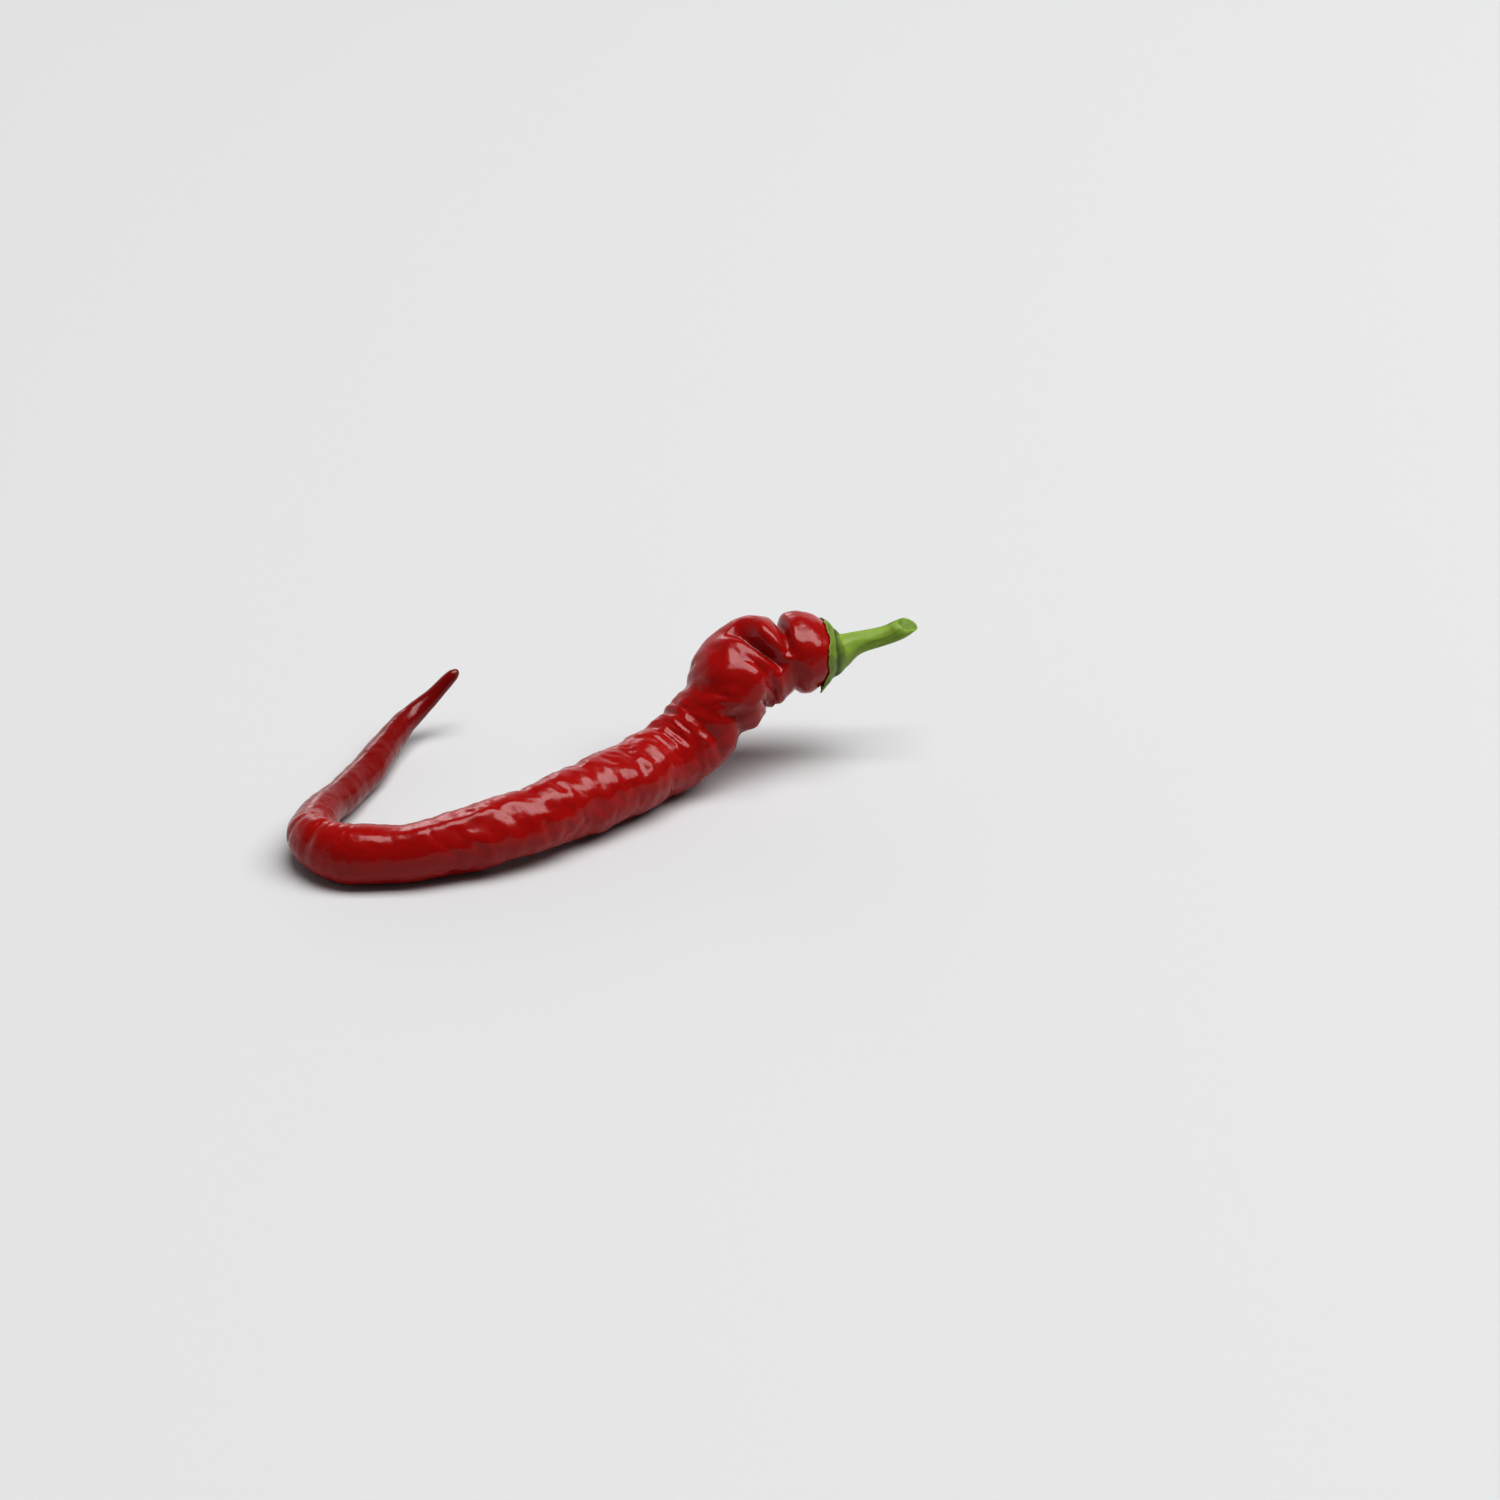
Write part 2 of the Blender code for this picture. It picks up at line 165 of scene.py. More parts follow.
# Soft waves of the skin: length along the pod, length round it, height, and how strong
# they are as (distance from the crown, share).
SKIN_WAVES = [
    (2.8, 4.2, 0.34, [(2, 0.8), (22, 0.8), (30, 1), (100, 1), (118, 0.3), (150, 0.25),
                      (160, 0.6), (200, 0.6), (219, 0.2)]),
    (0.62, 4.0, 0.03, [(8, 0.1), (16, 0.5), (28, 1), (104, 1), (116, 0.7), (130, 0.7),
                       (136, 1.4), (146, 1.2), (154, 0.1), (219, 0.1)]),
    (1.0, 1.3, 0.03, [(2, 1.5), (12, 1.5), (20, 1), (112, 1), (120, 2), (219, 2.5)]),
]
# The waves are lowered by this share of their height, so few rise above the solid.
WAVE_LOWERING = 0.3
# Where the pod is thinner than this radius, its relief grows shallower with it.
FULL_RELIEF_RADIUS = 6
# Small steps along the pod and round it, for slopes.
STEP = 0.05
TURN_STEP = 0.01


def natural_spline(knots, values, at):
    """Smooth curve through the values, unbent at its two ends."""
    step = np.diff(knots)
    slope = np.diff(values, axis=0) / step[:, None]
    size = len(knots)
    matrix = np.eye(size)
    right = np.zeros_like(values)
    for i in range(1, size - 1):
        matrix[i, i - 1] = step[i - 1]
        matrix[i, i] = 2 * (step[i - 1] + step[i])
        matrix[i, i + 1] = step[i]
        right[i] = 6 * (slope[i] - slope[i - 1])
    bend = np.linalg.solve(matrix, right)
    i = np.clip(np.searchsorted(knots, at) - 1, 0, size - 2)
    h = step[i][:, None]
    a = (knots[i + 1] - at)[:, None] / h
    b = 1 - a
    return (
        a * values[i]
        + b * values[i + 1]
        + ((a**3 - a) * bend[i] + (b**3 - b) * bend[i + 1]) * h**2 / 6
    )


LINE = np.array(STALK_LINE + POD_LINE)
LINE[:, :2] += TO_MIDDLE
STATION = np.concatenate(
    [[0], np.cumsum(np.linalg.norm(np.diff(LINE[:, :3], axis=0), axis=1))]
)
STATION -= STATION[len(STALK_LINE)]
POD_LENGTH = STATION[-1]


def middle(s):
    """Point on the middle line at each distance s from the crown."""
    return natural_spline(STATION, LINE[:, :3], s)


def girth(s):
    """Plain radius of the pod: the square of it is smooth to the poles."""
    first = len(STALK_LINE)
    square = natural_spline(STATION[first:], LINE[first:, 3:] ** 2, s)[:, 0]
    return np.sqrt(np.maximum(square, 0))


def axes_at(s):
    """Sideways and upward directions across the middle line."""
    along = middle(s + STEP) - middle(s - STEP)
    along /= np.linalg.norm(along, axis=1)[:, None]
    side = np.cross([0, 0, 1.0], along)
    side /= np.linalg.norm(side, axis=1)[:, None]
    return side, np.cross(along, side)


def fold(s, turn, radius, path, crown_side, tip_side, depth):
    """Depth of one fold, fading to nothing at both of its ends."""
    path_s = np.array([p[0] for p in path], float)
    path_turn = np.radians([p[1] for p in path])
    centre = path_turn.mean()
    around = (turn - centre + math.pi) % (2 * math.pi) - math.pi
    across = around * radius
    best = np.full(s.shape, np.inf)
    place = np.zeros(s.shape)
    tipward = np.zeros(s.shape)
    pieces = len(path) - 1
    for i in range(pieces):
        run_s = path_s[i + 1] - path_s[i]
        run_turn = (path_turn[i + 1] - path_turn[i]) * radius
        from_s = s - path_s[i]
        from_turn = across - (path_turn[i] - centre) * radius
        t = (from_s * run_s + from_turn * run_turn) / (run_s**2 + run_turn**2 + TINY)
        t = np.clip(t, 0, 1)
        gap = np.hypot(from_s - t * run_s, from_turn - t * run_turn)
        nearer = gap < best
        best = np.where(nearer, gap, best)
        place = np.where(nearer, (i + t) / pieces, place)
        side = from_s * run_turn - from_turn * run_s
        tipward = np.where(nearer, side, tipward)
    width = np.where(tipward * np.sign(path_turn[-1] - path_turn[0]) > 0, tip_side, crown_side)
    fade = np.sin(math.pi * place) ** FOLD_END_POWER
    return depth * fade * np.exp(-((best / width) ** 2))


def scattered_wrinkles(seed, count, reach, half_turn, slant, width, depth):
    """Short cross folds at places drawn from a fixed seed."""
    draw = random.Random(seed)
    wrinkles = []
    for _ in range(count):
        s = draw.uniform(*reach)
        degrees = draw.uniform(0, 360)
        half = draw.uniform(*half_turn)
        lean = draw.uniform(*slant)
        wide = draw.uniform(*width)
        deep = draw.uniform(*depth)
        path = [(s + lean, degrees + half), (s, degrees), (s - lean, degrees - half)]
        wrinkles.append((path, wide, wide, deep))
    return wrinkles


ALL_FOLDS = FOLDS + [w for kind in WRINKLES for w in scattered_wrinkles(*kind)]


def press_folds(s, turn, radius):
    """Sum of every fold's depth, each worked out only near its run."""
    depth_sum = np.zeros(s.shape)
    for path, crown_side, tip_side, depth in ALL_FOLDS:
        reach = FOLD_REACH * max(crown_side, tip_side)
        ends = [p[0] for p in path]
        near = (s > min(ends) - reach) & (s < max(ends) + reach)
        if near.any():
            depth_sum[near] += fold(
                s[near], turn[near], radius[near], path, crown_side, tip_side, depth
            )
    return depth_sum


def pulled_straight(s, turn):
    """Where each point of the skin would lie if the pod were pulled straight."""
    radius = girth(s)
    return np.stack([s, radius * np.cos(turn), radius * np.sin(turn)], axis=-1)


def skin_waves(s, turn):
    """Height of the skin's soft unevenness."""
    place = pulled_straight(s, turn)
    height = np.zeros(s.shape)
    for along, around, size, strength in SKIN_WAVES:
        share = np.interp(s, *zip(*strength))
        scaled = place / (along, around, around)
        wave = np.array([noise.noise(p) for p in scaled.tolist()])
        height += size * share * (wave - WAVE_LOWERING)
    return height


def pod_points(s, turn):
    """Points of the skin, and how deep the folds lie there, for arrays of one shape."""
    flat_s = s.ravel()
    flat_turn = turn.ravel()
    radius = girth(flat_s)
    twisted = flat_turn - LOBE_TWIST * flat_s
    height = LOBE_DEPTH * radius * np.cos(LOBE_COUNT * twisted)
    for number, length in enumerate(SWELL_LENGTHS):
        height += SWELL * np.sin(2 * math.pi * flat_s / length + (number + 1) * twisted)
    sunk = press_folds(flat_s, flat_turn, radius)
    height += skin_waves(flat_s, flat_turn) - sunk
    side, up = axes_at(flat_s)
    relief = height * np.minimum(radius / FULL_RELIEF_RADIUS, 1)
    reach = np.maximum(radius - SKIN_INSET + relief, 0)
    point = (
        middle(flat_s)
        + (reach * np.cos(flat_turn))[:, None] * side
        + (reach * np.sin(flat_turn))[:, None] * up
    )
    return point.reshape(*s.shape, 3), sunk.reshape(s.shape)


def closed_mesh(name, first_pole, rings, last_pole):
    """Mesh of rings of points, closed by a point at either end, lengths in millimetres."""
    count, sides = rings.shape[:2]
    points = np.vstack([[first_pole], rings.reshape(-1, 3), [last_pole]]) * MM
    faces = []
    for j in range(sides):
        k = (j + 1) % sides
        faces.append((0, 1 + k, 1 + j))
        for i in range(count - 1):
            row = 1 + i * sides
            below = row + sides
            faces.append((row + j, row + k, below + k, below + j))
        last = 1 + (count - 1) * sides
        faces.append((last + j, last + k, last + sides))
    mesh = bpy.data.meshes.new(name)
    mesh.from_pydata(points.tolist(), [], faces)
    mesh.shade_smooth()
    piece = bpy.data.objects.new(name, mesh)
    bpy.context.scene.collection.objects.link(piece)
    return piece


def keep_on_mesh(piece, name, values):
    """Store a number or a vector for every point, for the finish to read."""
    values = np.asarray(values, float)
    kind = "FLOAT_VECTOR" if values.ndim == 2 else "FLOAT"
    layer = piece.data.attributes.new(name, kind, "POINT")
    layer.data.foreach_set("vector" if values.ndim == 2 else "value", values.ravel())


class Wire:
    """A shader socket that adds nodes when it is used in arithmetic."""

    def __init__(self, finish, socket):
        self.finish = finish
        self.socket = socket

    def math(self, operation, *values):
        settings = {"operation": operation}
        return self.finish.node("ShaderNodeMath", settings, dict(enumerate(values)))

    def __add__(self, other):
        return self.math("ADD", self, other)

    def __sub__(self, other):
        return self.math("SUBTRACT", self, other)

    def __rsub__(self, other):
        return self.math("SUBTRACT", other, self)

    def __mul__(self, other):
        return self.math("MULTIPLY", self, other)

    __radd__ = __add__
    __rmul__ = __mul__


class Finish:
    """The nodes in front of one shader, whose fixed values are set on its own sockets."""

    def __init__(self, holder, shader, fixed):
        holder.use_nodes = True
        self.holder = holder
        self.tree = holder.node_tree
        self.shader = self.tree.nodes[shader]
        for socket, value in fixed.items():
            self.shader.inputs[socket].default_value = value

    def node(self, kind, settings, sockets, output=0):
        """Add a node: its settings first, then a value or a link for each socket."""
        node = self.tree.nodes.new(kind)
        for name, value in settings.items():
            setattr(node, name, value)
        for name, value in sockets.items():
            self.plug(node.inputs[name], value)
        return Wire(self, node.outputs[output])

    def plug(self, socket, value):
        """Link a wire to a socket, or set a plain value on it."""
        if isinstance(value, Wire):
            self.tree.links.new(value.socket, socket)
        else:
            socket.default_value = value

    def read(self, attribute, output="Fac"):
        """Read what keep_on_mesh stored on the piece."""
        settings = {"attribute_type": "GEOMETRY", "attribute_name": attribute}
        return self.node("ShaderNodeAttribute", settings, {}, output)

    def noise(self, where, scale, detail):
        """Soft spots from 0 to 1, so many to the metre."""
        sockets = {"Vector": where, "Scale": scale, "Detail": detail}
        return self.node("ShaderNodeTexNoise", {}, sockets)

    def streaks(self, where, scales, detail):
        """The same, with its own number to the metre along each axis."""
        settings = {"operation": "MULTIPLY"}
        stretched = self.node("ShaderNodeVectorMath", settings, {0: where, 1: scales})
        return self.noise(stretched, 1, detail)

    def ramp(self, value, low, high):
        """From 0 at low to 1 at high, eased at both ends."""
        settings = {"interpolation_type": "SMOOTHSTEP"}
        sockets = {"Value": value, "From Min": low, "From Max": high}
        return self.node("ShaderNodeMapRange", settings, sockets)

    def band(self, value, rise, fall):
        """From 0 to 1 over the rise and back to 0 over the fall."""
        return self.ramp(value, *rise) * (1 - self.ramp(value, *fall))

    def split(self, vector, part):
        """One part of a vector."""
        return self.node("ShaderNodeSeparateXYZ", {}, {"Vector": vector}, part)

    def mix(self, share, first, second):
        """Blend of two colours: the share is that of the second."""
        settings = {"data_type": "RGBA"}
        return self.node("ShaderNodeMix", settings, {0: share, 6: first, 7: second}, 2)

    def bump(self, height, distance, strength=1.0, over=None):
        """Fine relief up to the distance in metres, if wanted over another relief."""
        sockets = {"Height": height, "Distance": distance, "Strength": strength}
        if over:
            sockets["Normal"] = over
        return self.node("ShaderNodeBump", {}, sockets)

    def feed(self, socket, value):
        """Let a wire vary one of the shader's sockets over the surface."""
        self.plug(self.shader.inputs[socket], value)


def material(name, fixed):
    """A new material, with the values that are the same all over its surface."""
    return Finish(bpy.data.materials.new(name), "Principled BSDF", fixed)


def ring_places():
    """Distances from the crown at which the pod's rings stand."""
    places = list(POLE_RINGS)
    for end, spacing in RING_SPACING:
        while places[-1] < end:
            places.append(places[-1] + spacing)
    places = [s for s in places if s < POD_LENGTH - POLE_RINGS[-1] - POLE_ROOM]
    return np.array(places + [POD_LENGTH - gap for gap in reversed(POLE_RINGS)])


def with_ends(values, first, last):
    """One value for every point of a closed mesh, from its rings and its two ends."""
    return np.concatenate([[first], values.reshape(-1, *values.shape[2:]), [last]])


side_turns = np.arange(POD_SIDES) * 2 * math.pi / POD_SIDES
pod_s, pod_turn = np.meshgrid(ring_places(), side_turns, indexing="ij")
pod_rings, pod_sunk = pod_points(pod_s, pod_turn)
# The pod lies on three spots of its skin that the table presses flat.
pod_rings[..., 2] = np.maximum(pod_rings[..., 2], 0)
crown, tip = middle(np.array([SKIN_INSET, POD_LENGTH - SKIN_INSET]))
pod = closed_mesh("pod_skin", crown, pod_rings, tip)
straight = pulled_straight(pod_s, pod_turn)
keep_on_mesh(pod, "straight", with_ends(straight, (0, 0, 0), (POD_LENGTH, 0, 0)) * MM)
keep_on_mesh(pod, "sunk", with_ends(pod_sunk, 0, 0))

RED = (0.285, 0.0036, 0.0027, 1)
DARK_RED = (0.16, 0.002, 0.0018, 1)
BRIGHT_RED = (0.305, 0.0045, 0.003, 1)
DRY_TIP = (0.16, 0.02, 0.01, 1)
# Brighter clouds and darker mottles: how many to the metre, and the heights of the noise
# between which they come in.
CLOUDS = 60
CLOUD_EDGE = (0.35, 0.7)
MOTTLES = 380
MOTTLE_EDGE = (0.5, 0.8)
# How far each of these takes the red towards the dark red.
MOTTLE_SHADE = 0.35
FOLD_PAINTED_SHADE = 0.6
# The folds' share is painted shade in their creases.
TAIL_SHADE = 0.9
# The depth of fold, in millimetres, at which the painted shade in its crease begins and is full.
PAINTED_SHADE_DEPTH = (0.5, 2.6)
# Distances from the crown, in metres, over which the skin changes.
SKIN_SMOOTHS = (0.11, 0.13)
TAIL_DARKENS = (0.13, 0.165)
TIP_DRIES = (0.2175, 0.2189)
# How rough the waxy shine is, and how much rougher in the mottles.
SHINE = 0.16
DULLER = 0.14
DULL_EDGE = (0.35, 0.8)
# The finest relief: ripples that run round the pod and pores between them, both so many
# to the metre. The tail is smoother by this share.
RIPPLES = (800, 260, 260)
PORES = 1100
PORE_SHARE = 0.5
RELIEF_HEIGHT = 0.00006
TAIL_SMOOTHER = 0.85

skin = material("ripe red pepper skin", {
    "IOR": 1.45,
    "Specular IOR Level": 0.34,
    "Subsurface Weight": 0.08,
    "Subsurface Radius": (0.002, 0.0003, 0.0002),
    "Subsurface Scale": 1.0,
})
pulled = skin.read("straight", "Vector")
along = skin.split(pulled, "X")
clouds = skin.noise(pulled, CLOUDS, 3)
mottles = skin.noise(pulled, MOTTLES, 4)
red = skin.mix(skin.ramp(clouds, *CLOUD_EDGE), RED, BRIGHT_RED)
red = skin.mix(skin.ramp(mottles, *MOTTLE_EDGE) * MOTTLE_SHADE, red, DARK_RED)
# Painted shade: the red is darkened where the folds lie deep.
red = skin.mix(skin.ramp(skin.read("sunk"), *PAINTED_SHADE_DEPTH) * FOLD_PAINTED_SHADE, red, DARK_RED)
red = skin.mix(skin.ramp(along, *TAIL_DARKENS) * TAIL_SHADE, red, DARK_RED)
red = skin.mix(skin.ramp(along, *TIP_DRIES), red, DRY_TIP)
skin.feed("Base Color", red)
skin.feed("Roughness", SHINE + skin.ramp(mottles, *DULL_EDGE) * DULLER)
ripples = skin.streaks(pulled, RIPPLES, 2)
ripples = ripples * (1 - skin.ramp(along, *SKIN_SMOOTHS) * TAIL_SMOOTHER)
pores = skin.noise(pulled, PORES, 2)
skin.feed("Normal", skin.bump(ripples + pores * PORE_SHARE, RELIEF_HEIGHT))
pod.data.materials.append(skin.holder)
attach(pod, "root")
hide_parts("pod")

# The calyx and the stalk. The green cap that the flower left on the crown, with short
# blunt lobes pressed to the shoulder, and the stalk that grows out of it, cut with a
# knife when the pepper was picked.

GREEN_SIDES = 192
# The cap nearly touches the shoulder. It is thickest at the stalk and thin at its rim.
CALYX_GAP = 0.12
RIM_THICKNESS = 0.3
JOIN_THICKNESS = 1.0
THINNING = 1.5
# Distances from the crown at which the cap begins and ends, and its short blunt lobes.
CALYX_JOIN = 1.4
CALYX_REACH = 4.4
CALYX_LOBES = 6
CALYX_LOBE_DEPTH = 0.3
CALYX_LOBE_TURN = math.radians(18)
# One lobe hangs further down and curls away from the shoulder near its end.
LONG_LOBE_TURN = -54.0
LONG_LOBE_SPREAD = 19.0
LONG_LOBE_BLUNTNESS = 4
LONG_LOBE_REACH = 1.1
LONG_LOBE_LIFT = 0.9
CURL = 4
# The edge of the cap is uneven: (waves round it, height).
RIM_TEETH = ((13, 0.1), (29, 0.05), (47, 0.04))
# The valley round the foot of the stalk: place from join to rim, width, depth.
VALLEY = (0.3, 0.2, 0.45)
VEIN_HEIGHT = 0.2
VEIN_SHARPNESS = 3
# The foot and the stem of the stalk: (distance from the crown, radius).
STALK_PROFILE = [
    (-0.6, 4.1),
    (-1.7, 3.5),
    (-3.0, 3.05),
    (-4.6, 2.72),
    (-6.6, 2.5),
    (-8.8, 2.4),
    (-11.0, 2.35),
    (-13.2, 2.4),
    (-15.0, 2.45),
    (-16.1, 2.4),
]
STALK_INSET = 0.05
# Ribs run along the stalk and wind slowly round it: (how many, height).
STALK_RIBS = ((5, 0.09), (11, 0.04), (17, 0.02))
RIB_WINDING = 0.15
# The knife went through on a slant, which the stalk's last stretch takes up.
CUT_EDGE = 2.1
CUT_SLOPE = 0.72
CUT_TURN = math.radians(62)
CUT_START = -12.5
CUT_DIMPLE = 0.25
# Rings of the mesh. Those of the cut face stand at these shares of its radius, and those
# of the rim's rounded edge at these shares of its thickness.
FACE_SHARES = (0.3, 0.6, 0.82, 0.95, 1.0)
STALK_RINGS = 100
CALYX_RINGS = 30
EDGE_SHARES = (0.85, 0.5, 0.15)
EDGE_BULGE = 0.12
# The underside's rings stand closer together towards the crown.
UNDER_RINGS = 20
UNDER_END = 0.04
UNDER_CROWDING = 1.5


def cut_slant(s, radius, turn):
    """How far the slanting cut moves a ring of the stalk towards the crown."""
    near = np.clip((CUT_START - s) / (CUT_START - STATION[0]), 0, 1)
    return CUT_SLOPE * radius * (1 + np.cos(turn - CUT_TURN)) * near


def long_lobe(turn):
    """From 0 to 1 across the one lobe that hangs."""
    away = np.degrees(turn) - LONG_LOBE_TURN
    away = (away + 180) % 360 - 180
    return np.exp(-((away / LONG_LOBE_SPREAD) ** LONG_LOBE_BLUNTNESS))


def calyx_rim(turn):
    """How far down the shoulder the calyx reaches at each turn."""
    lobes = CALYX_LOBE_DEPTH * np.cos(CALYX_LOBES * (turn - CALYX_LOBE_TURN))
    teeth = sum(size * np.sin(count * turn + count) for count, size in RIM_TEETH)
    return CALYX_REACH + lobes + teeth + LONG_LOBE_REACH * long_lobe(turn)


def skin_offset(s, turn, out):
    """Points that stand off the pod's skin by the distance out."""
    here = pod_points(s, turn)[0]
    along = pod_points(s + STEP, turn)[0] - pod_points(s - STEP, turn)[0]
    around = pod_points(s, turn + TURN_STEP)[0] - pod_points(s, turn - TURN_STEP)[0]
    normal = np.cross(around, along)
    normal /= np.linalg.norm(normal, axis=-1)[..., None]
    return here + out[..., None] * normal


def tube(s, radius, turn):
    """Rings round the middle line, for arrays of one shape."""
    side, up = axes_at(s.ravel())
    flat_turn = turn.ravel()
    across = np.cos(flat_turn)[:, None] * side + np.sin(flat_turn)[:, None] * up
    points = middle(s.ravel()) + radius.ravel()[:, None] * across
    return points.reshape(*s.shape, 3)


# The stem and its foot, ribbed, and slanting at the cut end.
turn = np.arange(GREEN_SIDES) * 2 * math.pi / GREEN_SIDES
profile = np.array(STALK_PROFILE[::-1])
stem_s = np.linspace(profile[0, 0], profile[-1, 0], STALK_RINGS)
stem_radius = natural_spline(profile[:, 0], profile[:, 1:], stem_s)[:, 0] - STALK_INSET
stem_s, stem_turn = np.meshgrid(stem_s, turn, indexing="ij")
stem_radius = stem_radius[:, None] * np.ones_like(stem_s)
for count, size in STALK_RIBS:
    winding = RIB_WINDING * stem_s * count**0.5
    stem_radius += size * (np.cos(count * stem_turn + winding) - 1) / 2
stem_s = stem_s + cut_slant(stem_s, stem_radius, stem_turn)
stem = tube(stem_s, stem_radius, stem_turn)

# The cut face, dished a little.
cut = STATION[0] + STALK_INSET + cut_slant(STATION[0], CUT_EDGE, turn)
face_share = np.array(FACE_SHARES)
face_s = cut + CUT_DIMPLE * (1 - face_share[:, None] ** 2)
face_radius = CUT_EDGE * face_share[:, None] * np.ones_like(face_s)
face = tube(face_s, face_radius, face_s * 0 + turn)

# The cap from the join to the rim.
share = np.linspace(0, 1, CALYX_RINGS)[:, None]
rim = calyx_rim(turn)
cap_s = CALYX_JOIN + (rim - CALYX_JOIN) * share
cap_turn = cap_s * 0 + turn
cap_out = RIM_THICKNESS + (JOIN_THICKNESS - RIM_THICKNESS) * (1 - share) ** THINNING
place, width, depth = VALLEY
cap_out = cap_out - depth * np.exp(-(((share - place) / width) ** 2))
veins = np.cos(CALYX_LOBES * (cap_turn - CALYX_LOBE_TURN))
cap_out = cap_out + VEIN_HEIGHT * np.maximum(veins, 0) ** VEIN_SHARPNESS
lift = LONG_LOBE_LIFT * long_lobe(turn)
cap = skin_offset(cap_s, cap_turn, CALYX_GAP + lift * (cap_s / rim) ** CURL + cap_out)

# The rounded edge of the rim, then the underside back to the crown.
edge_share = np.array(EDGE_SHARES)[:, None]
edge_s = rim + EDGE_BULGE * np.sin(math.pi * edge_share)
edge_out = CALYX_GAP + lift + RIM_THICKNESS * edge_share
edge = skin_offset(edge_s, edge_s * 0 + turn, edge_out)
under_share = np.linspace(1, UNDER_END, UNDER_RINGS)[:, None]
under_s = rim * under_share**UNDER_CROWDING
under_out = CALYX_GAP + lift * (under_s / rim) ** CURL
under = skin_offset(under_s, under_s * 0 + turn, under_out)

green_rings = np.concatenate([face, stem, cap, edge, under])
face_middle, cap_middle = middle(np.array([cut.mean() + CUT_DIMPLE, -CALYX_GAP]))
green = closed_mesh("calyx_and_stalk_skin", face_middle, green_rings, cap_middle)

# Kept for the finish: the distance along from the cut end to the rim with the direction
# round the stalk, the share of the way from join to rim, and how near a point of the cut
# face is to its middle.
GRAIN_RADIUS = 3
face_count = len(FACE_SHARES)
inner_count = len(EDGE_SHARES) + UNDER_RINGS
face_place = np.broadcast_to(STATION[0], (face_count, GREEN_SIDES))
inner_place = np.broadcast_to(rim, (inner_count, GREEN_SIDES))
grown_s = np.concatenate([face_place, stem_s, cap_s, inner_place])
grown_turn = np.broadcast_to(turn, grown_s.shape)
grown = np.stack(
    [grown_s, GRAIN_RADIUS * np.cos(grown_turn), GRAIN_RADIUS * np.sin(grown_turn)], axis=-1
)
keep_on_mesh(green, "grown", with_ends(grown, (STATION[0], 0, 0), (0, 0, 0)) * MM)
before_cap = np.zeros((face_count + STALK_RINGS, GREEN_SIDES))
past_cap = np.ones((inner_count, GREEN_SIDES))
to_rim = np.concatenate([before_cap, share * np.ones_like(cap_s), past_cap])
keep_on_mesh(green, "to_rim", with_ends(to_rim, 0, 1))
on_face = np.zeros(grown_s.shape)
on_face[:face_count] = (1 - face_share**2)[:, None]
keep_on_mesh(green, "on_face", with_ends(on_face, 1, 0))

STALK_GREEN = (0.22, 0.33, 0.04, 1)
SHADED_GREEN = (0.13, 0.21, 0.022, 1)
CALYX_GREEN = (0.08, 0.122, 0.013, 1)
PAINTED_SHADE_GREEN = (0.038, 0.065, 0.008, 1)
RIM_YELLOW = (0.24, 0.24, 0.06, 1)
CUT_GREEN = (0.14, 0.225, 0.026, 1)
# Streaks along the stalk and blotches: how many to the metre, the heights of the noise
# between which they come in, and how strongly they show.
STREAKS = (120, 900, 900)
STREAK_EDGE = (0.35, 0.7)
STREAK_SHADE = 0.7
BLOTCHES = 420
BLOTCH_EDGE = (0.55, 0.8)
BLOTCH_SHADE = 0.5
# The cap's darker green comes in over these distances past the crown, in metres. It is
# uneven, and where it is faintest it still has this share.
CAP_DARKENS = (-0.002, 0.0018)
CAP_EDGE = (0.3, 0.7)
FAINTEST_CAP = 0.3
# The painted shade in the valley at the foot of the stalk, and the pale rim, as shares of the
# way from the join to the rim.
VALLEY_BEGINS = (0.02, 0.25)
VALLEY_ENDS = (0.3, 0.6)
VALLEY_PAINTED_SHADE = 0.8
RIM_PALES = (0.92, 1.0)
RIM_SHADE = 0.8
FACE_EDGE = (0.1, 0.6)
# How rough the satin is, and how much rougher in the blotches.
SATIN = 0.42
DULLER_SATIN = 0.15
# Fine relief: its height in metres, and its strength.
STREAK_RELIEF = (0.00008, 0.6)
BLOTCH_RELIEF = (0.0003, 0.7)

flesh = material("fresh green stalk", {
    "IOR": 1.45,
    "Specular IOR Level": 0.3,
    "Subsurface Weight": 0.08,
    "Subsurface Radius": (0.0006, 0.0012, 0.0003),
    "Subsurface Scale": 1.0,
})
grain = flesh.read("grown", "Vector")
way_to_rim = flesh.read("to_rim")
streaks = flesh.streaks(grain, STREAKS, 3)
blotches = flesh.noise(grain, BLOTCHES, 4)
streaked = flesh.ramp(streaks, *STREAK_EDGE) * STREAK_SHADE
hue = flesh.mix(streaked, STALK_GREEN, SHADED_GREEN)
hue = flesh.mix(flesh.ramp(blotches, *BLOTCH_EDGE) * BLOTCH_SHADE, hue, CALYX_GREEN)
uneven = FAINTEST_CAP + flesh.ramp(blotches, *CAP_EDGE) * (1 - FAINTEST_CAP)
on_cap = flesh.ramp(flesh.split(grain, "X"), *CAP_DARKENS) * uneven
hue = flesh.mix(on_cap, hue, CALYX_GREEN)
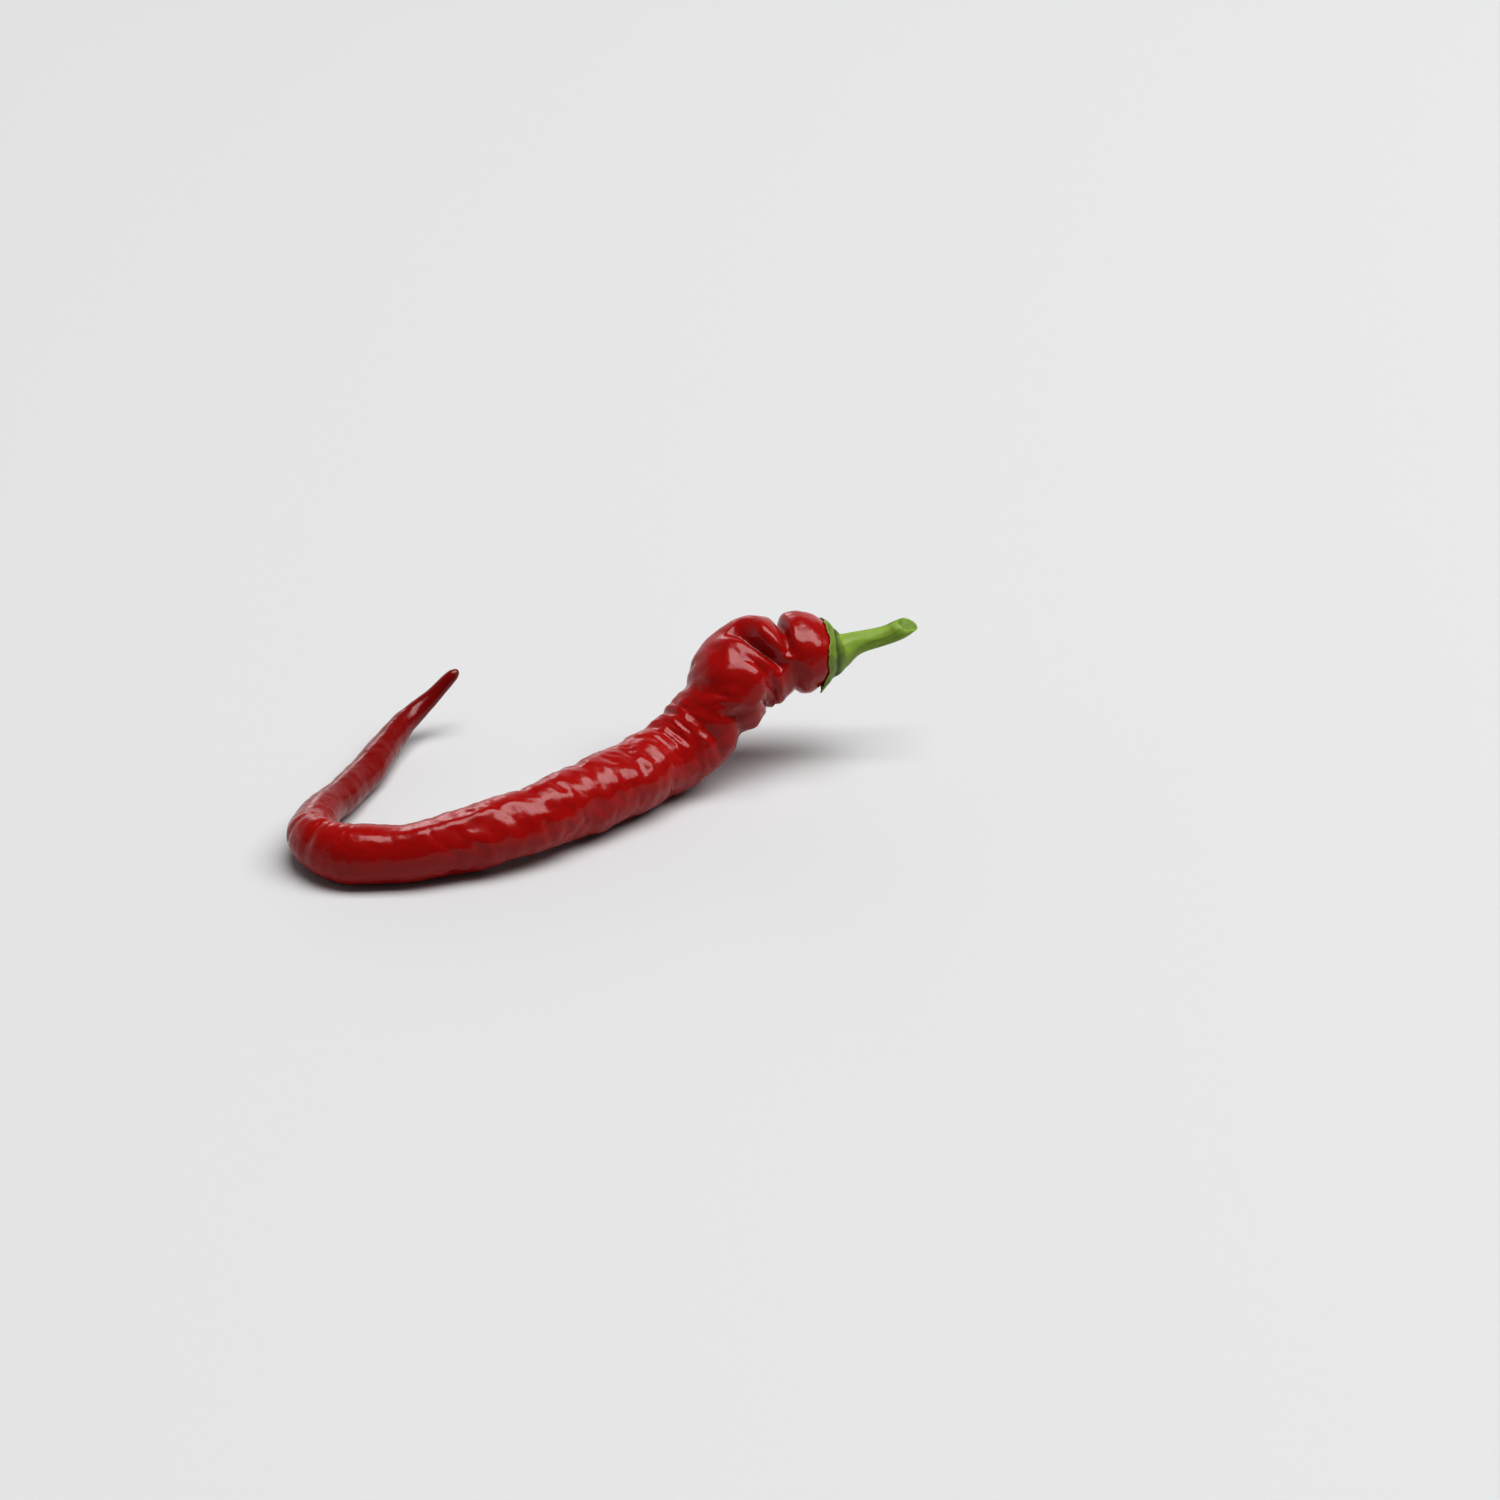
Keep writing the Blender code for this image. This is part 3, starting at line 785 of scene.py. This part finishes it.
# Painted shade: a dark green band darkens the valley between the cap and the stalk.
painted_valley_shade = flesh.band(way_to_rim, VALLEY_BEGINS, VALLEY_ENDS)
hue = flesh.mix(painted_valley_shade * VALLEY_PAINTED_SHADE, hue, PAINTED_SHADE_GREEN)
hue = flesh.mix(flesh.ramp(way_to_rim, *RIM_PALES) * RIM_SHADE, hue, RIM_YELLOW)
hue = flesh.mix(flesh.ramp(flesh.read("on_face"), *FACE_EDGE), hue, CUT_GREEN)
flesh.feed("Base Color", hue)
flesh.feed("Roughness", SATIN + blotches * DULLER_SATIN)
blotch_relief = flesh.bump(blotches, *BLOTCH_RELIEF)
flesh.feed("Normal", flesh.bump(streaks, *STREAK_RELIEF, over=blotch_relief))
green.data.materials.append(flesh.holder)
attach(green, "root")
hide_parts("calyx_and_stalk")

# The table. One wide level sheet of pale, dull paper that the pepper lies on. It reaches
# far enough to fill the picture, and is only the stage.

TABLE_HALF = 8.0
TABLE_CORNERS = [
    (-TABLE_HALF, -TABLE_HALF, 0),
    (TABLE_HALF, -TABLE_HALF, 0),
    (TABLE_HALF, TABLE_HALF, 0),
    (-TABLE_HALF, TABLE_HALF, 0),
]
PALE_GREY = (0.545, 0.545, 0.548, 1)
PAPER_ROUGHNESS = 0.9
table_mesh = bpy.data.meshes.new("table")
table_mesh.from_pydata(TABLE_CORNERS, [], [(0, 1, 2, 3)])
table = bpy.data.objects.new("table", table_mesh)
bpy.context.scene.collection.objects.link(table)
paper = material("pale paper", {"Base Color": PALE_GREY, "Roughness": PAPER_ROUGHNESS})
table.data.materials.append(paper.holder)

# The lamp. One broad softbox high over the table, a little to the right. It lights the
# whole pepper softly and draws the pale patches along the pod's top.

LAMP_PLACE = (3.4, 0.1, 6.0)
LAMP_WIDTH = 9.0
LAMP_DEPTH = 3.6
LAMP_BRIGHTNESS = 6.6
lamp_data = bpy.data.lights.new("softbox", "AREA")
lamp_data.shape = "RECTANGLE"
lamp_data.size = LAMP_WIDTH
lamp_data.size_y = LAMP_DEPTH
lamp_data.energy = LAMP_BRIGHTNESS * math.pi * LAMP_WIDTH * LAMP_DEPTH
lamp = bpy.data.objects.new("softbox", lamp_data)
bpy.context.scene.collection.objects.link(lamp)
lamp.location = LAMP_PLACE

# The room. Dark behind the camera, with white paper that glows low down beyond the table
# and on the left, and one narrow window far off, a little to the left.

ROOM_WHITE = (0.97, 0.98, 1, 1)
DARK_ROOM = 0.1
FAR_GLOW = 0.55
SIDE_GLOW = 0.6
WINDOW_GLOW = 2.2
# Each glow's edges, in a direction's parts to the right, away and up, from -1 to 1. The
# far paper faces the table from a little left of straight beyond.
FAR_FACING = (0.85, 0.5)
FAR_SIDES = (-0.1, 0.6)
FAR_TOP = (0.2, 0.75)
SIDE_BEGINS = (-0.95, -0.7)
SIDE_TOP = (0.02, 0.22)
WINDOW_LEFT = (-0.34, -0.26)
WINDOW_RIGHT = (-0.2, -0.12)
WINDOW_FOOT = (0.08, 0.2)
WINDOW_TOP = (0.4, 0.5)
WINDOW_AWAY = (0, 0.3)
room = Finish(bpy.data.worlds.new("studio"), "Background", {"Color": ROOM_WHITE})
towards = room.node("ShaderNodeTexCoord", {}, {}, "Generated")
right = room.split(towards, "X")
away = room.split(towards, "Y")
high = room.split(towards, "Z")
facing = away * FAR_FACING[0] - right * FAR_FACING[1]
far_paper = room.ramp(facing, *FAR_SIDES) * (1 - room.ramp(high, *FAR_TOP))
side_paper = (1 - room.ramp(right, *SIDE_BEGINS)) * (1 - room.ramp(high, *SIDE_TOP))
window = room.band(right, WINDOW_LEFT, WINDOW_RIGHT)
window = window * room.band(high, WINDOW_FOOT, WINDOW_TOP) * room.ramp(away, *WINDOW_AWAY)
glow = far_paper * FAR_GLOW + side_paper * SIDE_GLOW + window * WINDOW_GLOW
room.feed("Strength", DARK_ROOM + glow)
bpy.context.scene.world = room.holder

# The camera. It stands on the near side of the table and looks down at the angle of the
# photograph, with the pepper left of the middle and a little above it.

CAMERA_DOWN = math.radians(28)
CAMERA_DISTANCE = 0.82
CAMERA_AIM = Vector((0.03147, 0.02715, 0))
CAMERA_LENS = 85
FILM_WIDTH = 36
view = Vector((0, math.cos(CAMERA_DOWN), -math.sin(CAMERA_DOWN)))
camera_data = bpy.data.cameras.new("camera")
camera_data.lens = CAMERA_LENS
camera_data.sensor_width = FILM_WIDTH
camera = bpy.data.objects.new("camera", camera_data)
bpy.context.scene.collection.objects.link(camera)
camera.location = CAMERA_AIM - view * CAMERA_DISTANCE
camera.rotation_euler = view.to_track_quat("-Z", "Y").to_euler()
bpy.context.scene.camera = camera
bpy.context.scene.view_settings.view_transform = "Standard"
bpy.context.scene.view_settings.look = "Medium High Contrast"
